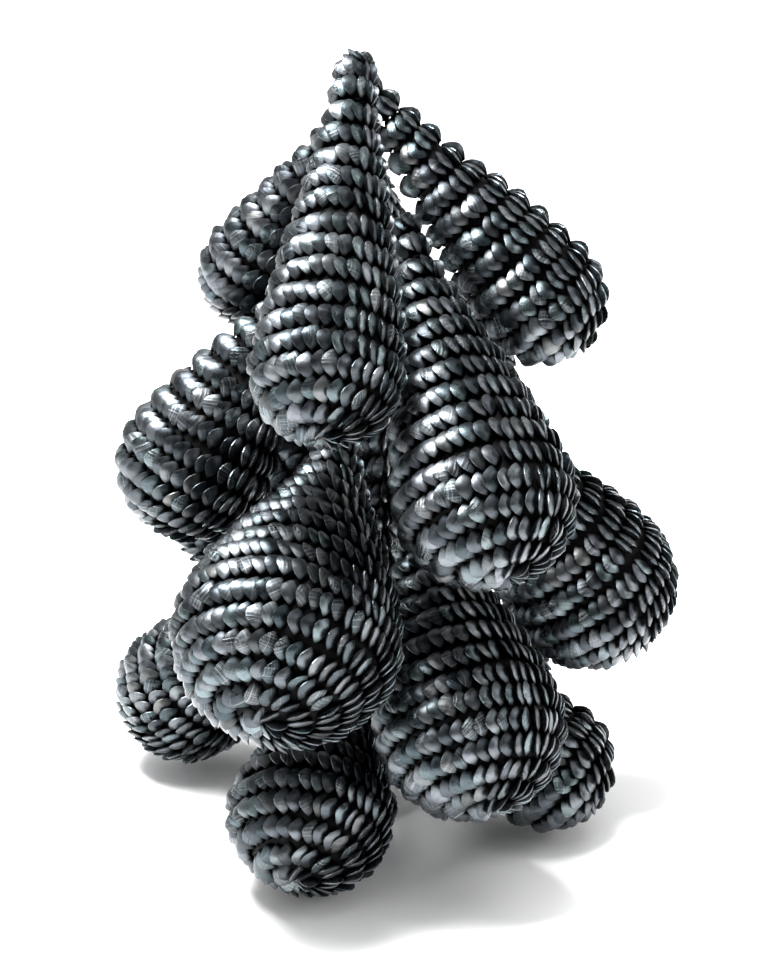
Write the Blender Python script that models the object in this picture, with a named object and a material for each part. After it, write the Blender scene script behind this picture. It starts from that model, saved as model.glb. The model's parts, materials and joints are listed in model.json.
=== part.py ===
"""Magnetic desk sculpture: teardrop lobes of magnetised ferrite stones round a stem.

The real object is thousands of equal lens-shaped stones that cling to each other.
Neighbouring stones that lift off together are modelled as one piece: for each lobe
its tip stones, its outer winding of stone rows and its inner core, and for the stem
four stacked columns. Lengths are in metres, the stem stands on the XY plane and
rises along +Z, and angles are in degrees.
"""

import math

import bmesh
import bpy
from mathutils import Euler

MM = 0.001

# One stone, which sets the thickness of a winding and the gaps between rows.
STONE_DIAMETER = 5.3 * MM
WINDING_THICKNESS = 0.57 * STONE_DIAMETER
CLEARANCE = 0.3 * MM

# Parts that all lobes share.
TIP_LENGTH = 7.0 * MM
BORE_RADIUS = 1.0 * MM
NECK_STRAIGHTNESS = 0.45
CORE_START = 0.45

# The stem: four columns of packed stones, one on top of the other.
FOOT_RADIUS = 6.0 * MM
FOOT_HEIGHT = 5.0 * MM
STEM_RADIUS = 5.5 * MM
STEM_LOWER_TOP = 58.0 * MM
STEM_MIDDLE_TOP = 112.0 * MM
STEM_UPPER_TOP = 137.0 * MM
STEM_TOP_RADIUS = 3.0 * MM
STEM_EDGE = 0.8 * MM

# Segments round each turned piece. A core has its winding's, so that their faces stay parallel.
WINDING_SEGMENTS = 14
TIP_SEGMENTS = 10
STEM_SEGMENTS = 16
SHARP_ANGLE = math.radians(42.0)

# name: (tip centre x, y, z in mm, azimuth, tilt from straight down,
#        length from tip centre to far end, bulb radius and tip radius in mm)
LOBES = {
    "top_front": ((-2.4, -5.6, 156.7), -97, 42, 76.0, 14.5, 4.3),
    "top_right": ((-1.3, 3.0, 152.0), -13, 42, 66.5, 13.5, 3.8),
    "top_left": ((-6.0, 4.5, 145.0), 149, 31, 50.0, 12.0, 2.8),
    "top_back": ((-1.5, 8.5, 143.0), 93, 46, 57.0, 11.5, 2.8),
    "upper_front": ((7.2, -8.0, 127.5), -70, 45, 75.0, 17.5, 2.8),
    "upper_left": ((-8.5, -1.0, 120.0), -163, 34, 64.0, 16.0, 2.8),
    "upper_right": ((6.0, 7.0, 117.0), 66, 48, 55.0, 12.0, 2.8),
    "upper_back": ((-3.0, 8.5, 113.0), 114, 47, 57.0, 13.5, 2.8),
    "middle_front": ((-4.5, -7.5, 87.0), -104, 59, 72.0, 22.0, 2.8),
    "middle_right": ((9.0, 1.0, 96.0), 4, 38, 76.5, 18.5, 2.8),
    "middle_left": ((-8.0, 4.0, 84.0), 146, 47, 49.0, 12.0, 2.8),
    "middle_back": ((1.5, 9.0, 83.0), 82, 50, 61.0, 16.5, 2.8),
    "lower_front": ((8.0, -6.5, 72.0), -71, 45, 67.0, 19.0, 3.8),
    "bottom_front": ((-5.0, -7.5, 35.0), -103, 58, 50.0, 17.0, 2.8),
    "bottom_right": ((9.0, -1.5, 39.5), -15, 49, 51.5, 14.5, 2.8),
    "bottom_back_right": ((6.0, 7.0, 38.0), 50, 53, 52.0, 15.0, 2.8),
    "bottom_back": ((-2.0, 9.0, 41.0), 100, 56, 59.0, 17.0, 2.8),
    "bottom_left": ((-8.0, 4.5, 51.0), 152, 47, 64.0, 16.0, 2.8),
}

# kind of piece: (base colour, roughness)
FINISHES = {
    "winding": ((0.075, 0.085, 0.092), 0.26),
    "tip": ((0.090, 0.100, 0.106), 0.24),
    "core": ((0.030, 0.034, 0.037), 0.45),
    "stem": ((0.045, 0.050, 0.054), 0.38),
}


def clear_scene():
    """Remove everything that a new file starts with."""
    for item in list(bpy.data.objects):
        bpy.data.objects.remove(item, do_unlink=True)


def ferrite(name, kind):
    """A polished dark grey ferrite material for one piece."""
    colour, roughness = FINISHES[kind]
    material = bpy.data.materials.new(name + "_ferrite")
    material.use_nodes = True
    shader = material.node_tree.nodes["Principled BSDF"]
    shader.inputs["Base Color"].default_value = (*colour, 1.0)
    shader.inputs["Metallic"].default_value = 0.9
    shader.inputs["Roughness"].default_value = roughness
    return material


def turned(name, kind, profile, segments):
    """A closed turned piece from (radius, height) points that start and end on the axis."""
    shape = bmesh.new()
    corners = [shape.verts.new((radius, 0.0, height)) for radius, height in profile]
    edges = [shape.edges.new(pair) for pair in zip(corners, corners[1:])]
    bmesh.ops.spin(
        shape,
        geom=corners + edges,
        axis=(0.0, 0.0, 1.0),
        cent=(0.0, 0.0, 0.0),
        angle=2.0 * math.pi,
        steps=segments,
    )
    bmesh.ops.remove_doubles(shape, verts=shape.verts, dist=0.001 * MM)
    bmesh.ops.recalc_face_normals(shape, faces=shape.faces)
    mesh = bpy.data.meshes.new(name)
    shape.to_mesh(mesh)
    shape.free()
    mesh.shade_smooth()
    mesh.set_sharp_from_angle(angle=SHARP_ANGLE)
    mesh.materials.append(ferrite(name, kind))
    piece = bpy.data.objects.new(name, mesh)
    bpy.context.scene.collection.objects.link(piece)
    return piece


def girth(depth, neck, bulb, tip):
    """Outer radius of a lobe's neck, depth metres from the tip centre."""
    part = depth / neck
    swell = part * part * (3.0 - 2.0 * part)
    blend = NECK_STRAIGHTNESS * part + (1.0 - NECK_STRAIGHTNESS) * swell
    return tip + (bulb - tip) * blend


def round_end(neck, radius, angles):
    """Profile points over the round far end, centred where the neck ends."""
    points = []
    for angle in angles:
        turn = math.radians(angle)
        points.append((radius * math.cos(turn), -neck - radius * math.sin(turn)))
    points.append((0.0, -neck - radius))
    return points


def tip_profile(neck, bulb, tip):
    """The tip stones: a dome on top, flaring to the neck of the lobe."""
    dome = math.radians(45.0)
    return [
        (0.0, tip),
        (tip * math.cos(dome), tip * math.sin(dome)),
        (tip, 0.0),
        (girth(TIP_LENGTH, neck, bulb, tip), -TIP_LENGTH),
        (0.0, -TIP_LENGTH),
    ]


def winding_profile(neck, bulb, tip):
    """The outer rows: from the far end inside, up the cavity and bore, and down outside."""
    start = TIP_LENGTH + CLEARANCE
    cavity_start = CORE_START * neck
    cavity = bulb - WINDING_THICKNESS
    cavity_top = girth(cavity_start, neck, bulb, tip) - WINDING_THICKNESS
    inside = [
        (BORE_RADIUS, -start),
        (BORE_RADIUS, -cavity_start),
        (cavity_top, -cavity_start),
    ]
    inside += round_end(neck, cavity, (0.0, 45.0))
    steps = 4
    outside = []
    for step in range(steps):
        depth = start + (neck - start) * step / steps
        outside.append((girth(depth, neck, bulb, tip), -depth))
    outside += round_end(neck, bulb, (0.0, 30.0, 60.0))
    return inside[::-1] + outside


def core_profile(neck, bulb, tip):
    """The packed stones inside the winding."""
    start = CORE_START * neck
    radius = bulb - WINDING_THICKNESS - CLEARANCE
    top_radius = girth(start, neck, bulb, tip) - WINDING_THICKNESS - CLEARANCE
    top = -start - CLEARANCE
    return [(0.0, top), (top_radius, top)] + round_end(neck, radius, (0.0, 45.0))


def make_lobe(name, tip, azimuth, tilt, length, bulb, tip_radius):
    """One teardrop lobe: three turned pieces on an empty at the tip, along its axis."""
    axis = bpy.data.objects.new(name + "_axis", None)
    axis.location = [value * MM for value in tip]
    axis.rotation_euler = Euler((0.0, -math.radians(tilt), math.radians(azimuth)))
    bpy.context.scene.collection.objects.link(axis)
    bulb_radius = bulb * MM
    neck = length * MM - bulb_radius
    pieces = (
        ("tip", tip_profile, TIP_SEGMENTS),
        ("winding", winding_profile, WINDING_SEGMENTS),
        ("core", core_profile, WINDING_SEGMENTS),
    )
    for kind, profile, segments in pieces:
        outline = profile(neck, bulb_radius, tip_radius * MM)
        piece = turned(name + "_" + kind, kind, outline, segments)
        piece.parent = axis


def column(name, bottom, top, bottom_radius, top_radius):
    """One stem piece: a turned column with a small edge at both ends."""
    profile = [
        (0.0, top),
        (top_radius - STEM_EDGE, top),
        (top_radius, top - STEM_EDGE),
        (bottom_radius, bottom + STEM_EDGE),
        (bottom_radius - STEM_EDGE, bottom),
        (0.0, bottom),
    ]
    return turned(name, "stem", profile, STEM_SEGMENTS)


def make_stem():
    """The stem, from the flat foot that the sculpture stands on to its thin top."""
    column("stem_foot", 0.0, FOOT_HEIGHT, FOOT_RADIUS, STEM_RADIUS)
    column("stem_lower", FOOT_HEIGHT + CLEARANCE, STEM_LOWER_TOP, STEM_RADIUS, STEM_RADIUS)
    column("stem_middle", STEM_LOWER_TOP + CLEARANCE, STEM_MIDDLE_TOP, STEM_RADIUS, STEM_RADIUS)
    column("stem_upper", STEM_MIDDLE_TOP + CLEARANCE, STEM_UPPER_TOP, STEM_RADIUS, STEM_TOP_RADIUS)


def main():
    clear_scene()
    make_stem()
    for name, measures in LOBES.items():
        make_lobe(name, *measures)


main()
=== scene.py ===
"""Looks of the magnetic desk sculpture: every lobe and the stem as rows of polished stones.

The stones of a lobe stand on their edges in rings round its axis. Each leans over its
neighbour like a scale, so that one side of a lobe shows broad overlapping faces and the
other side narrow ones with dark gaps. Lengths are in metres and angles in radians, and the
frame is the CAD's.
"""

import json
import math

import bpy
import numpy as np
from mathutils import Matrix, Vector


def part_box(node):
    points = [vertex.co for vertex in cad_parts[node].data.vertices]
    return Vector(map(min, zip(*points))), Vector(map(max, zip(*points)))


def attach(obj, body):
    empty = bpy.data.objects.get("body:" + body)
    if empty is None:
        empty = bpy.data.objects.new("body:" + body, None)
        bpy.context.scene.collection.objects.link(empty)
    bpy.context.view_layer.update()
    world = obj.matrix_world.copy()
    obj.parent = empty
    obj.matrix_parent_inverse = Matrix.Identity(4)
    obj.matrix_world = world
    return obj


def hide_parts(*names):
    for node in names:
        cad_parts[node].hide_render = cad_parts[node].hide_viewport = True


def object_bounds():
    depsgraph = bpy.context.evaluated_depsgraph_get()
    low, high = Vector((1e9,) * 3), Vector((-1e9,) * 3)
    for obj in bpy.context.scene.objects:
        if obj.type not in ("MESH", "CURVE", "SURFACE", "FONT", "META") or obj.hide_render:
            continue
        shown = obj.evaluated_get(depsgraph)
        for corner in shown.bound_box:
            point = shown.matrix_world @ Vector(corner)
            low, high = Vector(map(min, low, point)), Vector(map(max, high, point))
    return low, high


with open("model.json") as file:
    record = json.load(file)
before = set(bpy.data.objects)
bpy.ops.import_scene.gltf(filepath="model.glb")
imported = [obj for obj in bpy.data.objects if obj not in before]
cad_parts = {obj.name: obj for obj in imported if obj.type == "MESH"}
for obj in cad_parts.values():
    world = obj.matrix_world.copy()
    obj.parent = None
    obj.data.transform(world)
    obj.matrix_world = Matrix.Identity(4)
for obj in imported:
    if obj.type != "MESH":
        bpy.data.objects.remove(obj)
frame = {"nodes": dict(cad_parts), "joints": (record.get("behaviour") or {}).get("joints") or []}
cad_low, cad_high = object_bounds()

MM = 0.001

# One stone: a lens with a thin rim, a little pointed at its two ends. The face rings are
# shares of the way from the middle of a face to its rim.
STONE_LENGTH = 4.95 * MM
STONE_WIDTH = 5.2 * MM
STONE_THICKNESS = 1.6 * MM
RIM_THICKNESS = 0.16 * MM
STONE_SIDES = 16
POINTEDNESS = 0.92
CROWN_EXPONENT = 2.5
FACE_RINGS = (0.5, 0.82, 1.0)
SHARP_ANGLE = math.radians(38.0)

# How the stones are laid: the distance between rows along the outline, the distance between
# stones round a row, how few stones a row has at the least, and by what share of the spacing
# each row starts further round than the one before.
ROW_PITCH = 5.35 * MM
STONE_SPACING = 2.5 * MM
FEWEST_STONES = 8
ROW_PHASE = 0.5

# Stones lean by LEAN from upright. Where the outline turns across the axis, at a lobe's two
# ends, they lean less, down to the share END_LEAN. Run is 1 where the outline follows the axis
# and 0 where it crosses it.
LEAN = math.radians(52.0)
END_LEAN = 0.6
FULL_LEAN_RUN = 0.5

# In a narrow row the middles of the stones keep this far from the axis.
AXIS_ROOM = 0.9 * MM

# Irregularity of hand-laid stones: each stone's shift, its turns about its three axes, its
# size and its lean, each row's lean, and a stone's place in the row as a share of the spacing.
SHIFT = 0.16 * MM
TURN = math.radians(5.0)
TURN_SHARES = (1.0, 0.6, 1.0)
SIZE_SPREAD = 0.05
LEAN_SPREAD = 0.07
ROW_LEAN_SPREAD = 0.04
PLACE_SPREAD = 0.07

# A row waves a little along the lobe, up to this many times round it.
WAVE = 0.3 * MM
MOST_WAVES = 3

# The core behind the stones, painted near black as shade: how far it lies inside the outline, and
# its mesh.
FILLER_INSET = 2.4 * MM
FILLER_LEAST_RADIUS = 0.35 * MM
FILLER_STEP = 2.5 * MM
FILLER_FEWEST_RINGS = 3
FILLER_SIDES = 20

# How far out from its middle a stone is still painted with the full shade of the gap, and from where
# it has none of this painted shade.
DARK_BELOW = 0.1 * MM
CLEAR_ABOVE = 0.75 * MM

# The lobes' outline, as the CAD model turns it, and how finely it is drawn.
NECK_STRAIGHTNESS = 0.45
DOME_STEPS = 30
NECK_POINTS = 120
END_STEPS = 60

# An outline's direction at a place is taken between two places this far before and after it.
DIRECTION_STEP = 0.2 * MM

# A lobe's tip rows end TIP_GAP before its winding. A tip takes one more row when more than
# TIP_ROW_SHARE of a row is left over. The last row of a winding runs LAST_ROW before the far
# end's pole.
TIP_GAP = 0.3 * MM
TIP_ROW_SHARE = 0.25
FEWEST_ROWS = 2
LAST_ROW = 2.5 * MM

# A lobe's cores of painted shade stay this far from the split between tip and winding, and from the
# pole.
FILLER_GAP = 0.6 * MM
FILLER_END = 0.5 * MM

# The stem pieces: the share of the height that counts as the top, the room under the lowest
# row, and how far the core of painted shade stays inside both ends.
COLUMN_TOP_SHARE = 0.1
COLUMN_ROOM = 0.2 * MM
COLUMN_FILLER_END = 0.3 * MM

# Seeds of the first lobe and the first stem piece; the others count on from there.
LOBE_SEED = 100
STEM_SEED = 500

# Ferrite's grey and tint: where a stone stands in the spread from 0 to 1, and its colour there.
GREYS = [
    (0.0, (0.040, 0.047, 0.053)),
    (0.5, (0.074, 0.085, 0.092)),
    (1.0, (0.15, 0.165, 0.175)),
]
TINTS = [
    (0.0, (0.86, 1.0, 1.0)),
    (0.45, (1.0, 1.0, 1.0)),
    (0.8, (0.97, 0.95, 1.0)),
    (1.0, (1.0, 0.93, 0.86)),
]
SCRATCH_COLOUR = (0.19, 0.205, 0.215)
# Painted shade: the near-black colour a stone takes deep down in a gap.
PAINTED_GAP_SHADE = (0.001, 0.001, 0.001)
# Painted shade: the near-black colour of the cores behind the stones.
PAINTED_SHADE_COLOUR = (0.003, 0.003, 0.0035)
# The CAD cores' own dark grey.
CORE_COLOUR = (0.05, 0.055, 0.06)

# Each stone's patch of the surface textures is shifted by up to this many stone lengths.
TEXTURE_ROOM = 40.0

# The share of its colour that shaded ferrite has at the edges of its mottles.
MOTTLE_EDGE = 0.4

# From this upwards a unit axis counts as nearly vertical.
NEARLY_VERTICAL = 0.9

# The camera's place: the point it looks at, how far off it is and how high it stands.
LOOK_AT = Vector((0.0028, 0.0, 0.073))
CAMERA_DISTANCE = 0.536
CAMERA_ELEVATION = math.radians(20.0)
CAMERA_LENS = 100.0
CAMERA_CLIP_START = 0.01

# The studio: half the floor's side, and for each area light its place, its width and height,
# and its power in watts.
FLOOR_HALF = 3.0
AREA_LIGHTS = {
    "key": ((-0.14, -0.08, 0.8), (0.32, 0.32), 24.0),
    "left_panel": ((-0.6, -0.6, 0.35), (0.5, 0.6), 1.3),
    "right_panel": ((0.8, 0.1, 0.3), (0.3, 0.5), 2.4),
}
OVERHEAD_STRENGTH = 1.7
OVERHEAD_SPREAD = math.radians(60.0)

# The world's light, by how far a direction points sideways, backwards and upwards.
WORLD_SIDES = [(0.3, 0.03), (0.9, 0.35)]
WORLD_BEHIND = [(0.1, 0.0), (0.7, 0.9)]
WORLD_ABOVE = [(0.3, 0.0), (0.8, 0.6)]


# ---------------------------------------------------------------- stones


def stone_points():
    """One stone at the origin: x outwards, y along the lobe, z through its faces."""
    angles = np.arange(STONE_SIDES) * math.tau / STONE_SIDES
    sides = np.sin(angles)
    rim_x = STONE_WIDTH / 2.0 * np.sign(sides) * np.abs(sides) ** (2.0 * POINTEDNESS)
    rim_y = STONE_LENGTH / 2.0 * np.cos(angles)
    crown = (STONE_THICKNESS - RIM_THICKNESS) / 2.0
    points = []
    for side in (1.0, -1.0):
        points.append([(0.0, 0.0, side * (crown + RIM_THICKNESS / 2.0))])
        for share in FACE_RINGS:
            level = side * (crown * (1.0 - share**CROWN_EXPONENT) + RIM_THICKNESS / 2.0)
            ring = [rim_x * share, rim_y * share, np.full(STONE_SIDES, level)]
            points.append(np.stack(ring, axis=1))
    return np.concatenate(points)


def stone_faces():
    """A stone's two crowned faces, ring by ring from the middle, and the band round its rim."""
    half = 1 + STONE_SIDES * len(FACE_RINGS)
    faces = []
    for start, flip in ((0, False), (half, True)):
        for k in range(STONE_SIDES):
            after = (k + 1) % STONE_SIDES
            rows = [(start, start + 1 + after, start + 1 + k)]
            for ring in range(len(FACE_RINGS) - 1):
                inner = start + 1 + ring * STONE_SIDES
                outer = inner + STONE_SIDES
                rows.append((inner + k, inner + after, outer + after, outer + k))
            faces += [row[::-1] if flip else row for row in rows]
    rim = 1 + STONE_SIDES * (len(FACE_RINGS) - 1)
    for k in range(STONE_SIDES):
        after = (k + 1) % STONE_SIDES
        faces.append((rim + k, rim + after, half + rim + after, half + rim + k))
    return faces


def stone_clearness(points):
    """How far each point of a leaning stone stands clear of the gaps, from 0 to 1, which sets how
    much painted gap shade it gets.
    """
    height = points[:, 0] * math.cos(LEAN) + points[:, 2] * math.sin(LEAN)
    return np.clip((height - DARK_BELOW) / (CLEAR_ABOVE - DARK_BELOW), 0.0, 1.0)


TEMPLATE_POINTS = stone_points()
TEMPLATE_FACES = stone_faces()
TEMPLATE_CLEAR = stone_clearness(TEMPLATE_POINTS)
TEMPLATE_PLACES = TEMPLATE_POINTS[:, :2] / STONE_LENGTH


def turned_basis(across, along, through, turns):
    """The three axes of a stone after small turns about each of them, in radians."""
    basis = np.stack([across, along, through])
    for axis, turn in enumerate(turns):
        first, second = [k for k in range(3) if k != axis]
        cosine = math.cos(turn)
        sine = math.sin(turn)
        turned_first = basis[first] * cosine + basis[second] * sine
        turned_second = basis[second] * cosine - basis[first] * sine
        basis[first] = turned_first
        basis[second] = turned_second
    return basis


def place_stone(chance, point, outwards, along, lean):
    """A stone round a point, leaning over from upright. Returns its centre and axes."""
    tangent = np.cross(outwards, along)
    lean = lean + chance.normal(0.0, LEAN_SPREAD)
    through = math.cos(lean) * tangent + math.sin(lean) * outwards
    across = -math.sin(lean) * tangent + math.cos(lean) * outwards
    turns = chance.normal(0.0, TURN, 3) * TURN_SHARES
    basis = turned_basis(across, along, through, turns)
    size = 1.0 + chance.uniform(-SIZE_SPREAD, SIZE_SPREAD)
    centre = point + along * chance.normal(0.0, SHIFT) - outwards * abs(chance.normal(0.0, SHIFT))
    return centre, basis * size


# ---------------------------------------------------------------- turned outlines


class Outline:
    """The outline of a turned piece as points (depth, radius) and how far along it each is."""

    def __init__(self, depths, radii):
        self.depths = np.array(depths)
        self.radii = np.array(radii)
        steps = np.hypot(np.diff(self.depths), np.diff(self.radii))
        self.travel = np.concatenate([[0.0], np.cumsum(steps)])

    def depth_at(self, travel):
        return np.interp(travel, self.travel, self.depths)

    def radius_at(self, travel):
        return np.interp(travel, self.travel, self.radii)

    def at(self, travel):
        """Depth, radius and the unit direction (run, rise) along the outline."""
        low = max(travel - DIRECTION_STEP, 0.0)
        high = min(travel + DIRECTION_STEP, self.travel[-1])
        run = self.depth_at(high) - self.depth_at(low)
        rise = self.radius_at(high) - self.radius_at(low)
        size = math.hypot(run, rise)
        return self.depth_at(travel), self.radius_at(travel), run / size, rise / size

    def travel_at(self, depth):
        """The distance along the outline at which it reaches a depth."""
        return float(np.interp(depth, self.depths, self.travel))


def lobe_outline(neck, bulb, tip):
    """A lobe from the top of its tip: a dome, then a neck that swells into a round far end."""
    dome = np.linspace(0.0, math.pi / 2.0, DOME_STEPS + 1)[:-1]
    depths = list(-tip * np.cos(dome))
    radii = list(tip * np.sin(dome))
    share = np.linspace(0.0, 1.0, NECK_POINTS)
    swell = share * share * (3.0 - 2.0 * share)
    blend = NECK_STRAIGHTNESS * share + (1.0 - NECK_STRAIGHTNESS) * swell
    depths += list(neck * share)
    radii += list(tip + (bulb - tip) * blend)
    for angle in np.linspace(0.0, math.pi / 2.0, END_STEPS + 1)[1:]:
        depths.append(neck + bulb * math.sin(angle))
        radii.append(bulb * math.cos(angle))
    return Outline(depths, radii)


def sagitta(outline, travel):
    """How far a straight stone must sink so that its ends stay inside a convex outline."""
    half = STONE_LENGTH / 2.0
    _, _, run_before, rise_before = outline.at(max(travel - half, 0.0))
    _, _, run_after, rise_after = outline.at(min(travel + half, outline.travel[-1]))
    bend = math.atan2(rise_before, run_before) - math.atan2(rise_after, run_after)
    return half * math.tan(max(bend, 0.0) / 4.0)


def ring_of_stones(chance, origin, axes, outline, travel, phase):
    """One row of stones round an axis, at a distance along the outline."""
    first, second, axis = axes
    sunk = sagitta(outline, travel)
    _, radius, run, _ = outline.at(travel)
    lean = LEAN * (END_LEAN + (1.0 - END_LEAN) * min(1.0, run / FULL_LEAN_RUN))
    lean = lean + chance.normal(0.0, ROW_LEAN_SPREAD)
    count = max(FEWEST_STONES, round(math.tau * radius / STONE_SPACING))
    waves = chance.integers(1, MOST_WAVES + 1)
    first_wave = chance.random() * math.tau
    stones = []
    for k in range(count):
        angle = (k + phase + chance.normal(0.0, PLACE_SPREAD)) * math.tau / count
        wave = WAVE * math.sin(waves * angle + first_wave)
        depth, radius, run, rise = outline.at(travel + wave)
        radial = first * math.cos(angle) + second * math.sin(angle)
        along = axis * run + radial * rise
        outwards = radial * run - axis * rise
        inset = STONE_WIDTH / 2.0 * math.cos(lean) + sunk
        room = radius - AXIS_ROOM
        if inset > room:
            inset += (max(room, 0.0) - inset) * run
        point = origin + axis * depth + radial * radius - outwards * inset
        stones.append(place_stone(chance, point, outwards, along, lean))
    return stones


def filler(origin, axes, outline, start, end):
    """A turned core behind the stones, painted near black as shade, from one distance along the
    outline to another.
    """
    first, second, axis = axes
    points = []
    rows = []
    rings = max(FILLER_FEWEST_RINGS, int((end - start) / FILLER_STEP))
    for travel in np.linspace(start, end, rings):
        depth, radius, run, rise = outline.at(travel)
        shrunk = max(radius - FILLER_INSET * run, FILLER_LEAST_RADIUS)
        depth += FILLER_INSET * rise
        row = []
        for k in range(FILLER_SIDES):
            angle = k * math.tau / FILLER_SIDES
            radial = first * math.cos(angle) + second * math.sin(angle)
            row.append(len(points))
            points.append(origin + axis * depth + radial * shrunk)
        rows.append(row)
    faces = [tuple(rows[0][::-1]), tuple(rows[-1])]
    for upper, lower in zip(rows, rows[1:]):
        for k in range(FILLER_SIDES):
            after = (k + 1) % FILLER_SIDES
            faces.append((upper[k], upper[after], lower[after], lower[k]))
    return np.array(points), faces


# ---------------------------------------------------------------- meshes


def joined_mesh(name, stones, fill):
    """One mesh of many stones, followed by the core of painted shade, with nothing below the floor.
    """
    centres = np.array([centre for centre, _ in stones])
    bases = np.array([basis for _, basis in stones])
    points = centres[:, None, :] + np.einsum("pk,nkc->npc", TEMPLATE_POINTS, bases)
    fill_points, fill_faces = fill
    points = np.concatenate([points.reshape(-1, 3), fill_points])
    points[:, 2] = np.maximum(points[:, 2], 0.0)

    faces = []
    for k in range(len(stones)):
        start = k * len(TEMPLATE_POINTS)
        faces += [tuple(start + corner for corner in face) for face in TEMPLATE_FACES]
    start = len(stones) * len(TEMPLATE_POINTS)
    faces += [tuple(start + corner for corner in face) for face in fill_faces]

    mesh = bpy.data.meshes.new(name)
    mesh.from_pydata(points.tolist(), [], faces)
    return mesh


def write_looks(mesh, chance, stones, fill_points):
    """Four random numbers for each stone, and how far each point is clear of the gaps, which sets
    its painted gap shade.
    """
    looks = chance.random((len(stones), 4))
    spread = np.repeat(looks, len(TEMPLATE_POINTS), axis=0)
    spread = np.concatenate([spread, np.zeros((len(fill_points), 4))])
    look = mesh.attributes.new("look", "FLOAT_COLOR", "POINT")
    look.data.foreach_set("color", spread.astype(np.float32).ravel())
    clear = np.concatenate([np.tile(TEMPLATE_CLEAR, len(stones)), np.zeros(len(fill_points))])
    clearness = mesh.attributes.new("clear", "FLOAT", "POINT")
    clearness.data.foreach_set("value", clear.astype(np.float32))


def write_places(mesh, chance, stones, fill_points):
    """Each point's place in the surface textures: every stone has a turned patch of its own."""
    turn = chance.random(len(stones)) * math.tau
    cosine = np.cos(turn)[:, None]
    sine = np.sin(turn)[:, None]
    x = TEMPLATE_PLACES[:, 0][None, :]
    y = TEMPLATE_PLACES[:, 1][None, :]
    shift = chance.random((len(stones), 2)) * TEXTURE_ROOM
    places = np.stack([x * cosine - y * sine, x * sine + y * cosine], axis=2) + shift[:, None, :]
    places = np.concatenate([places.reshape(-1, 2), fill_points[:, :2] / STONE_LENGTH])
    corners = np.zeros(len(mesh.loops), dtype=np.int32)
    mesh.loops.foreach_get("vertex_index", corners)
    layer = mesh.uv_layers.new(name="face")
    layer.data.foreach_set("uv", places[corners].astype(np.float32).ravel())


def stones_piece(name, chance, stones, fill, finish, shadow):
    """One object of many stones round a core of painted shade, with a look of its own for each
    stone.
    """
    mesh = joined_mesh(name, stones, fill)
    mesh.materials.append(finish)
    mesh.materials.append(shadow)
    slots = np.zeros(len(mesh.polygons), dtype=np.int32)
    slots[len(stones) * len(TEMPLATE_FACES):] = 1
    mesh.polygons.foreach_set("material_index", slots)
    fill_points, _ = fill
    write_looks(mesh, chance, stones, fill_points)
    write_places(mesh, chance, stones, fill_points)
    mesh.shade_smooth()
    mesh.set_sharp_from_angle(angle=SHARP_ANGLE)
    mesh.update()
    item = bpy.data.objects.new(name, mesh)
    bpy.context.scene.collection.objects.link(item)
    return item


# ---------------------------------------------------------------- materials


def new_material(name):
    """A new material, its node tree and its Principled shader."""
    material = bpy.data.materials.new(name)
    material.use_nodes = True
    tree = material.node_tree
    return material, tree, tree.nodes["Principled BSDF"]


def node(tree, kind, **inputs):
    """A new node with the given input values; a name's underscores stand for spaces."""
    made = tree.nodes.new(kind)
    for key, value in inputs.items():
        made.inputs[key.replace("_", " ")].default_value = value
    return made


def feed(tree, socket, value):
    """Give a node's input a number, a colour or another node's output."""
    if isinstance(value, (int, float)):
        socket.default_value = value
    elif isinstance(value, tuple):
        socket.default_value = (*value, 1.0)
    else:
        tree.links.new(value, socket)


def maths(tree, operation, *values, clamp=False):
    """The output of a new Math node for numbers or other nodes' outputs."""
    made = tree.nodes.new("ShaderNodeMath")
    made.operation = operation
    made.use_clamp = clamp
    for socket, value in zip(made.inputs, values):
        feed(tree, socket, value)
    return made.outputs[0]


def weighted_sum(tree, base, terms, clamp=False):
    """A number plus each source times its weight; clamp holds the sum between 0 and 1."""
    total = base
    for source, weight in terms:
        total = maths(tree, "MULTIPLY_ADD", source, weight, total)
    total.node.use_clamp = clamp
    return total


def ramp(tree, source, stops):
    """A colour ramp; a stop's colour is a tuple, or a number for a grey."""
    made = tree.nodes.new("ShaderNodeValToRGB")
    while len(made.color_ramp.elements) < len(stops):
        made.color_ramp.elements.new(0.5)
    for element, (place, colour) in zip(made.color_ramp.elements, stops):
        element.position = place
        element.color = (*colour, 1.0) if isinstance(colour, tuple) else (colour,) * 3 + (1.0,)
    tree.links.new(source, made.inputs[0])
    return made.outputs[0]


def mixed(tree, share, first, second, blend="MIX"):
    """A mix of two colours; a Mix node's colour inputs are its seventh and eighth."""
    made = tree.nodes.new("ShaderNodeMix")
    made.data_type = "RGBA"
    made.blend_type = blend
    feed(tree, made.inputs[0], share)
    feed(tree, made.inputs[6], first)
    feed(tree, made.inputs[7], second)
    return made.outputs[2]


def scratch_lines(tree, coordinate, frequency, width):
    """Thin straight lines across a stone wherever a one-dimensional noise crosses its middle."""
    noise = node(tree, "ShaderNodeTexNoise", Scale=frequency, Detail=1.0)
    noise.noise_dimensions = "1D"
    tree.links.new(coordinate, noise.inputs["W"])
    off = maths(tree, "ABSOLUTE", maths(tree, "SUBTRACT", noise.outputs[0], 0.5))
    return ramp(tree, off, [(0.0, 1.0), (width, 0.0)])


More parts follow.
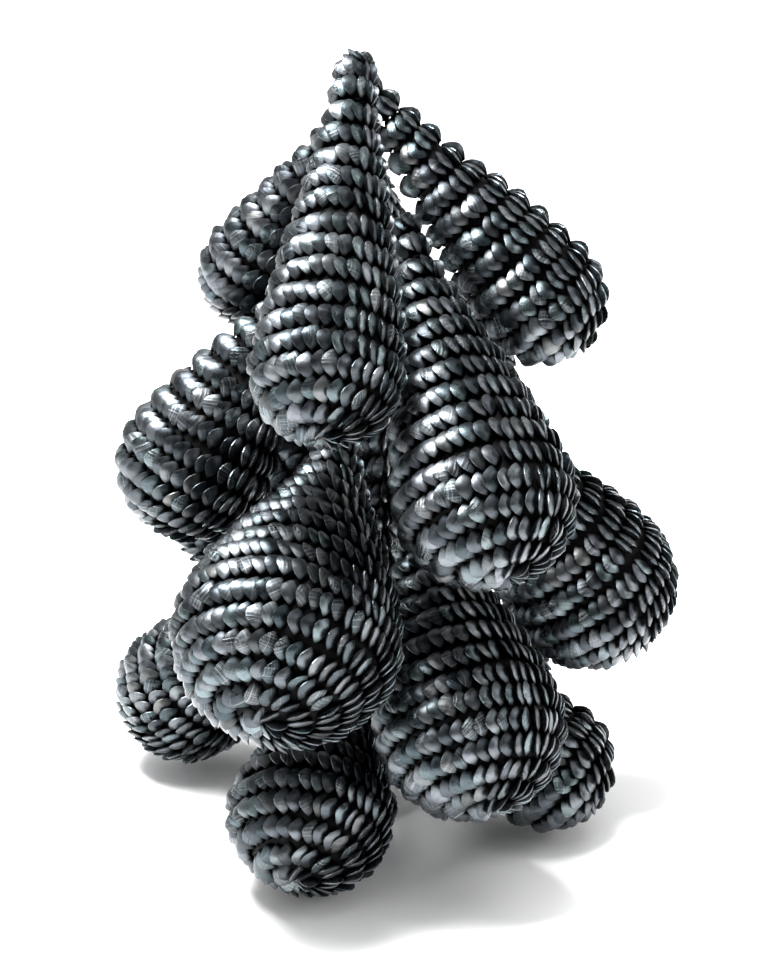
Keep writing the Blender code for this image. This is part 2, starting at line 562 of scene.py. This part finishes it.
def scratches(tree, place, wear):
    """Two crossing sets of lines, the second on the most worn stones only."""
    along = tree.nodes.new("ShaderNodeSeparateXYZ")
    tree.links.new(place, along.inputs[0])
    lines_one = scratch_lines(tree, along.outputs[0], frequency=7.0, width=0.028)
    lines_two = scratch_lines(tree, along.outputs[1], frequency=9.0, width=0.024)
    worn = ramp(tree, wear, [(0.45, 0.0), (0.9, 0.9)])
    most_worn = ramp(tree, wear, [(0.75, 0.0), (0.97, 0.8)])
    first = maths(tree, "MULTIPLY", lines_one, worn)
    return maths(tree, "MULTIPLY_ADD", lines_two, most_worn, first, clamp=True)


def surface_noise(tree, place, scale, detail, roughness):
    """Noise over the faces of the stones."""
    noise = node(tree, "ShaderNodeTexNoise", Scale=scale, Detail=detail, Roughness=roughness)
    tree.links.new(place, noise.inputs["Vector"])
    return noise.outputs[0]


def polished_ferrite():
    """Dark polished ferrite: a cool grey metal lustre, different on each stone, with scratches, and
    painted shade that takes the stones to near black deep in the gaps.
    """
    material, tree, shader = new_material("polished_ferrite")
    shader.inputs["Metallic"].default_value = 1.0

    look = tree.nodes.new("ShaderNodeAttribute")
    look.attribute_name = "look"
    parts = tree.nodes.new("ShaderNodeSeparateColor")
    tree.links.new(look.outputs["Color"], parts.inputs[0])
    shade, tint, wear = parts.outputs[0], parts.outputs[1], parts.outputs[2]
    clearness = tree.nodes.new("ShaderNodeAttribute")
    clearness.attribute_name = "clear"
    clear = clearness.outputs["Fac"]

    face = tree.nodes.new("ShaderNodeUVMap")
    face.uv_map = "face"
    place = face.outputs[0]
    stretched = tree.nodes.new("ShaderNodeMapping")
    stretched.inputs["Scale"].default_value = (30.0, 1.4, 1.0)
    tree.links.new(place, stretched.inputs[0])
    cloud = surface_noise(tree, place, scale=2.2, detail=4.0, roughness=0.6)
    grain = surface_noise(tree, place, scale=28.0, detail=3.0, roughness=0.7)
    streaks = surface_noise(tree, stretched.outputs[0], scale=1.0, detail=3.0, roughness=0.65)
    lines = scratches(tree, place, wear)

    colour = mixed(tree, 1.0, ramp(tree, shade, GREYS), ramp(tree, tint, TINTS), "MULTIPLY")
    lustre = ramp(tree, cloud, [(0.3, 0.72), (0.7, 1.12)])
    colour = mixed(tree, 1.0, colour, lustre, "MULTIPLY")
    colour = mixed(tree, lines, colour, SCRATCH_COLOUR)
    # Painted shade: deep in a gap, where clear is 0, a stone's colour goes to near black.
    colour = mixed(tree, clear, PAINTED_GAP_SHADE, colour)
    tree.links.new(colour, shader.inputs["Base Color"])

    in_gap = maths(tree, "SUBTRACT", 1.0, clear)
    shares = [(cloud, 0.22), (tint, 0.08), (lines, 0.12), (in_gap, 0.5)]
    rough = weighted_sum(tree, 0.16, shares, clamp=True)
    tree.links.new(rough, shader.inputs["Roughness"])

    height = weighted_sum(tree, 0.0, [(streaks, 0.5), (grain, 0.35), (lines, -0.5), (cloud, 1.6)])
    bump = node(tree, "ShaderNodeBump", Strength=0.55, Distance=0.12 * MM)
    tree.links.new(height, bump.inputs["Height"])
    tree.links.new(bump.outputs[0], shader.inputs["Normal"])
    return material


def shaded_ferrite(name, base):
    """Ferrite of one colour, mottled darker towards the edges of small cells. In near black it is
    painted shade in the gaps behind the stones; the CAD cores get it in a dark grey of their own.
    """
    material, tree, shader = new_material(name)
    shader.inputs["Metallic"].default_value = 0.4
    shader.inputs["Specular IOR Level"].default_value = 0.1
    where = tree.nodes.new("ShaderNodeTexCoord")
    cells = node(tree, "ShaderNodeTexVoronoi", Scale=420.0)
    tree.links.new(where.outputs["Object"], cells.inputs["Vector"])
    distance = cells.outputs["Distance"]
    dark = tuple(MOTTLE_EDGE * part for part in base)
    colour = ramp(tree, distance, [(0.1, base), (0.7, dark)])
    tree.links.new(colour, shader.inputs["Base Color"])
    rough = ramp(tree, distance, [(0.0, 0.5), (1.0, 0.8)])
    tree.links.new(rough, shader.inputs["Roughness"])
    bump = node(tree, "ShaderNodeBump", Strength=0.5, Distance=0.4 * MM)
    tree.links.new(distance, bump.inputs["Height"])
    tree.links.new(bump.outputs[0], shader.inputs["Normal"])
    return material


def studio_floor():
    """A plain pale floor with the faintest unevenness."""
    material, tree, shader = new_material("pale_floor")
    where = tree.nodes.new("ShaderNodeTexCoord")
    cloud = node(tree, "ShaderNodeTexNoise", Scale=3.0, Detail=2.0)
    tree.links.new(where.outputs["Object"], cloud.inputs["Vector"])
    colour = ramp(tree, cloud.outputs[0], [(0.3, 0.94), (0.7, 0.97)])
    tree.links.new(colour, shader.inputs["Base Color"])
    shader.inputs["Roughness"].default_value = 0.7
    shader.inputs["Specular IOR Level"].default_value = 0.2
    return material


# ---------------------------------------------------------------- the object


def unit(vector):
    return vector / np.linalg.norm(vector)


def axes_along(axis):
    """Two directions square to an axis, and the axis."""
    upright = abs(axis[2]) >= NEARLY_VERTICAL
    helper = np.array((0.0, 1.0, 0.0) if upright else (0.0, 0.0, 1.0))
    first = unit(np.cross(axis, helper))
    return first, np.cross(axis, first), axis


def node_points(name):
    """The corner points of a CAD node's mesh."""
    mesh = frame["nodes"][name].data
    points = np.zeros(len(mesh.vertices) * 3)
    mesh.vertices.foreach_get("co", points)
    return points.reshape(-1, 3)


def make_lobe(chance, joint, finish, shadow):
    """The tip stones and the winding of one lobe, laid along the axis of its twist joint."""
    lobe = joint["child"][: -len("_lobe")]
    origin = np.array(joint["pos_m"])
    axis = unit(np.array(joint["axis"]))
    axes = axes_along(axis)

    away = node_points(lobe + "_winding") - origin
    depths = away @ axis
    bulb = np.linalg.norm(away - depths[:, None] * axis, axis=1).max()
    dome = -((node_points(lobe + "_tip") - origin) @ axis).min()
    outline = lobe_outline(depths.max() - bulb, bulb, dome)
    end = outline.travel[-1]
    split = depths.min()

    tip_end = outline.travel_at(split - TIP_GAP)
    tip_rows = max(FEWEST_ROWS, math.ceil(tip_end / ROW_PITCH - TIP_ROW_SHARE))
    first_row = outline.travel_at(split) + STONE_LENGTH / 2.0
    last_row = end - LAST_ROW
    winding_rows = max(FEWEST_ROWS, round((last_row - first_row) / ROW_PITCH) + 1)

    # Kind of piece, its body, its rows' places along the outline, and its painted-shade core's two
    # ends.
    pieces = (
        (
            "tip",
            lobe + "_tip",
            (np.arange(tip_rows) + 0.5) * tip_end / tip_rows,
            (outline.travel_at(0.0), outline.travel_at(split) - FILLER_GAP),
        ),
        (
            "winding",
            lobe + "_lobe",
            np.linspace(first_row, last_row, winding_rows),
            (outline.travel_at(split) + FILLER_GAP, end - FILLER_END),
        ),
    )
    phase = chance.random()
    for kind, body, travels, filler_ends in pieces:
        stones = []
        for travel in travels:
            stones += ring_of_stones(chance, origin, axes, outline, travel, phase)
            phase += ROW_PHASE
        fill = filler(origin, axes, outline, *filler_ends)
        piece = stones_piece(lobe + "_" + kind + "_stones", chance, stones, fill, finish, shadow)
        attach(piece, body)
        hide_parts(lobe + "_" + kind)


def make_column(chance, name, finish, shadow):
    """The stones of one stem piece, in rows round the stem from its upper to its lower end."""
    low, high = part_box(name)
    radius = (high.x - low.x) / 2.0
    height = high.z - low.z
    points = node_points(name)
    upper = points[points[:, 2] > high.z - height * COLUMN_TOP_SHARE]
    top_radius = np.hypot(upper[:, 0], upper[:, 1]).max()
    outline = Outline((0.0, height), (top_radius, radius))
    origin = np.array((0.0, 0.0, high.z))
    axes = axes_along(np.array((0.0, 0.0, -1.0)))
    rows = max(1, int((height - STONE_LENGTH) / ROW_PITCH) + 1)
    if rows == 1:
        travels = [height / 2.0]
    else:
        half = STONE_LENGTH / 2.0
        travels = np.linspace(half, height - half - COLUMN_ROOM, rows)
    phase = chance.random()
    stones = []
    for travel in travels:
        stones += ring_of_stones(chance, origin, axes, outline, travel, phase)
        phase += ROW_PHASE
    filler_end = outline.travel[-1] - COLUMN_FILLER_END
    fill = filler(origin, axes, outline, COLUMN_FILLER_END, filler_end)
    column = stones_piece(name + "_stones", chance, stones, fill, finish, shadow)
    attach(column, "root")
    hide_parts(name)


def make_object():
    """All lobes and stem pieces; the cores keep their CAD mesh and get a better material."""
    finish = polished_ferrite()
    # The cores behind the stones are painted near black as shade.
    shadow = shaded_ferrite("shaded_ferrite", PAINTED_SHADE_COLOUR)
    core = shaded_ferrite("core_ferrite", CORE_COLOUR)
    twists = [joint for joint in frame["joints"] if joint["type"] == "hinge"]
    for number, joint in enumerate(twists):
        make_lobe(np.random.default_rng(LOBE_SEED + number), joint, finish, shadow)
    stem = sorted(name for name in frame["nodes"] if name.startswith("stem_"))
    for number, name in enumerate(stem):
        make_column(np.random.default_rng(STEM_SEED + number), name, finish, shadow)
    for name, item in frame["nodes"].items():
        if name.endswith("_core"):
            for slot in item.material_slots:
                slot.material = core


# ---------------------------------------------------------------- studio


def make_floor():
    """A flat square floor under the object."""
    corners = [(-1, -1), (1, -1), (1, 1), (-1, 1)]
    mesh = bpy.data.meshes.new("floor")
    mesh.from_pydata([(x * FLOOR_HALF, y * FLOOR_HALF, 0.0) for x, y in corners], [], [(0, 1, 2, 3)])
    mesh.materials.append(studio_floor())
    floor = bpy.data.objects.new("floor", mesh)
    bpy.context.scene.collection.objects.link(floor)


def make_world():
    """Soft white surroundings, bright behind the object and above it, and dark in front."""
    world = bpy.data.worlds.new("studio")
    bpy.context.scene.world = world
    world.use_nodes = True
    tree = world.node_tree
    background = tree.nodes["Background"]
    where = tree.nodes.new("ShaderNodeTexCoord")
    parts = tree.nodes.new("ShaderNodeSeparateXYZ")
    tree.links.new(where.outputs["Generated"], parts.inputs[0])
    sides = ramp(tree, maths(tree, "ABSOLUTE", parts.outputs[0]), WORLD_SIDES)
    behind = ramp(tree, parts.outputs[1], WORLD_BEHIND)
    above = ramp(tree, parts.outputs[2], WORLD_ABOVE)
    total = maths(tree, "ADD", maths(tree, "ADD", sides, behind), above, clamp=True)
    tree.links.new(total, background.inputs["Color"])
    background.inputs["Strength"].default_value = 1.0


def make_lights():
    """Area lights that face the middle of the object, and a soft light from straight above."""
    centre = (cad_low + cad_high) / 2.0
    for name, (place, (width, height), power) in AREA_LIGHTS.items():
        data = bpy.data.lights.new(name, "AREA")
        data.shape = "RECTANGLE"
        data.size = width
        data.size_y = height
        data.energy = power
        lamp = bpy.data.objects.new(name, data)
        lamp.location = place
        lamp.rotation_euler = (centre - Vector(place)).to_track_quat("-Z", "Y").to_euler()
        bpy.context.scene.collection.objects.link(lamp)
    overhead = bpy.data.lights.new("overhead", "SUN")
    overhead.energy = OVERHEAD_STRENGTH
    overhead.angle = OVERHEAD_SPREAD
    bpy.context.scene.collection.objects.link(bpy.data.objects.new("overhead", overhead))


def make_camera():
    """A camera at the photograph's angle: straight in front and a little above."""
    data = bpy.data.cameras.new("camera")
    data.lens = CAMERA_LENS
    data.clip_start = CAMERA_CLIP_START
    camera = bpy.data.objects.new("camera", data)
    back = Vector((0.0, -math.cos(CAMERA_ELEVATION), math.sin(CAMERA_ELEVATION)))
    camera.location = LOOK_AT + back * CAMERA_DISTANCE
    camera.rotation_euler = (-back).to_track_quat("-Z", "Y").to_euler()
    bpy.context.scene.collection.objects.link(camera)
    bpy.context.scene.camera = camera


make_object()
make_floor()
make_world()
make_lights()
make_camera()
bpy.context.scene.view_settings.view_transform = "Standard"
